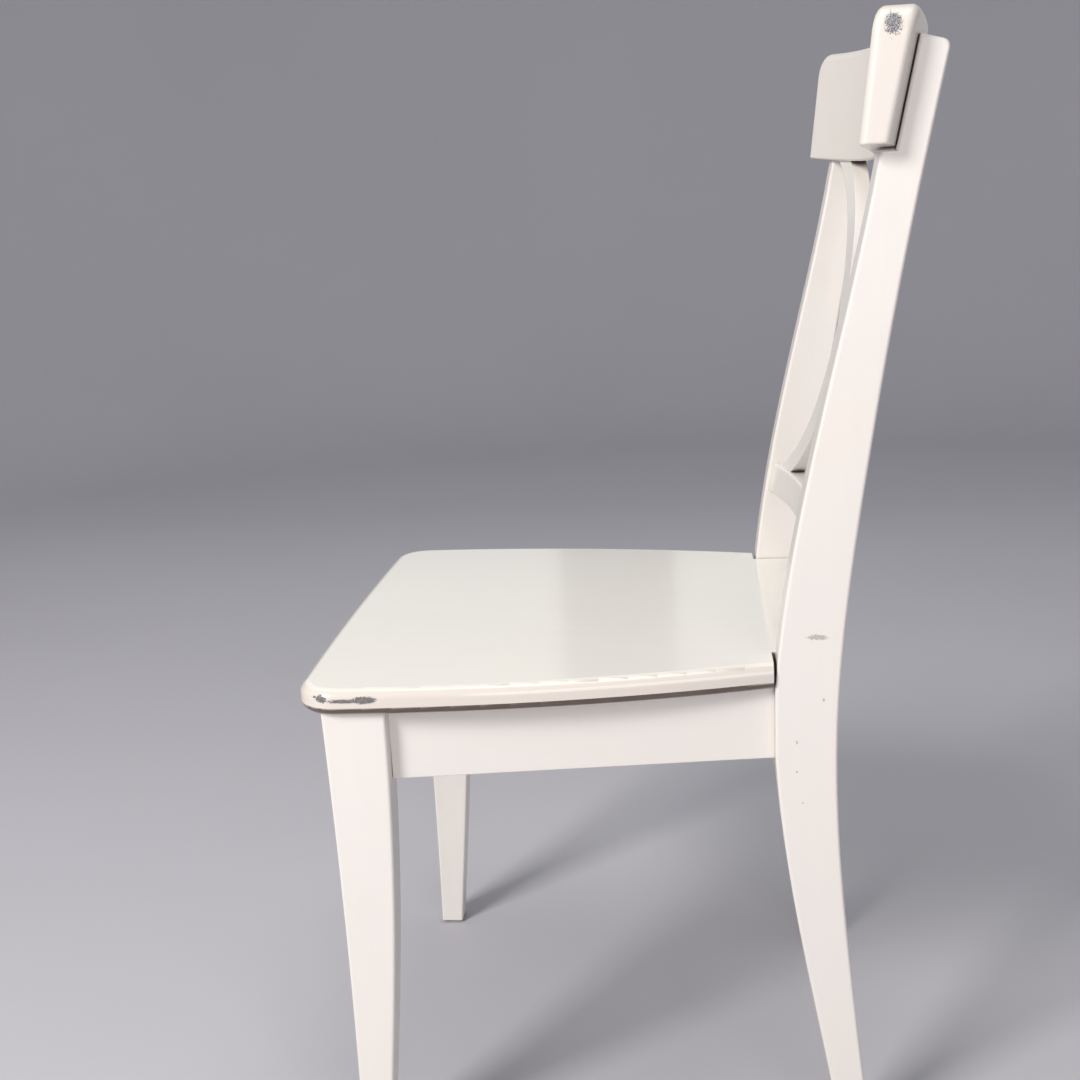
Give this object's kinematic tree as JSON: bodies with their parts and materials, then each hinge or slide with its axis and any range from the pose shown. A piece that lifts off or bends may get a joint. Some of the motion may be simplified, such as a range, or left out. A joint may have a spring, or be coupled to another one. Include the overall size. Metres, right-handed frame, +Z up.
{
  "type": "dining chair",
  "caption": "White-lacquered wooden dining chair with a flat tapered seat, tapered front legs, swept back posts, a bowed top rail and crossed back slats.",
  "frame": {"origin": "on the floor, at the middle of the chair's length and width", "axes": "+Z up, the sitter faces -Y, +X is the sitter's left"},
  "size_m": [0.4694, 0.5288, 0.9475],
  "materials": {
    "white_lacquer": "satin opaque lacquer on solid wood",
    "bare_beech": "planed, unfinished",
    "zinc_steel": "zinc plated",
    "glide_plastic": "moulded"
  },
  "bodies": {
    "root": {"apron_dowels": "bare_beech", "back_post_left": "white_lacquer", "back_post_right": "white_lacquer", "corner_block_front_left": "bare_beech", "corner_block_front_right": "bare_beech", "corner_block_rear_left": "bare_beech", "corner_block_rear_right": "bare_beech", "corner_block_screws": "zinc_steel", "cross_slat_rising_left": "white_lacquer", "cross_slat_rising_right": "white_lacquer", "front_apron": "white_lacquer", "front_leg_left": "white_lacquer", "front_leg_right": "white_lacquer", "glide_front_left": "glide_plastic", "glide_front_right": "glide_plastic", "glide_nails": "zinc_steel", "glide_rear_left": "glide_plastic", "glide_rear_right": "glide_plastic", "hanger_bolts": "zinc_steel", "hanger_nuts": "zinc_steel", "hanger_washers": "zinc_steel", "lower_back_rail": "white_lacquer", "rear_apron": "white_lacquer", "seat": "white_lacquer", "seat_screws": "zinc_steel", "side_apron_left": "white_lacquer", "side_apron_right": "white_lacquer", "top_rail": "white_lacquer", "top_rail_dowels": "bare_beech"}
  },
  "joints": []
}
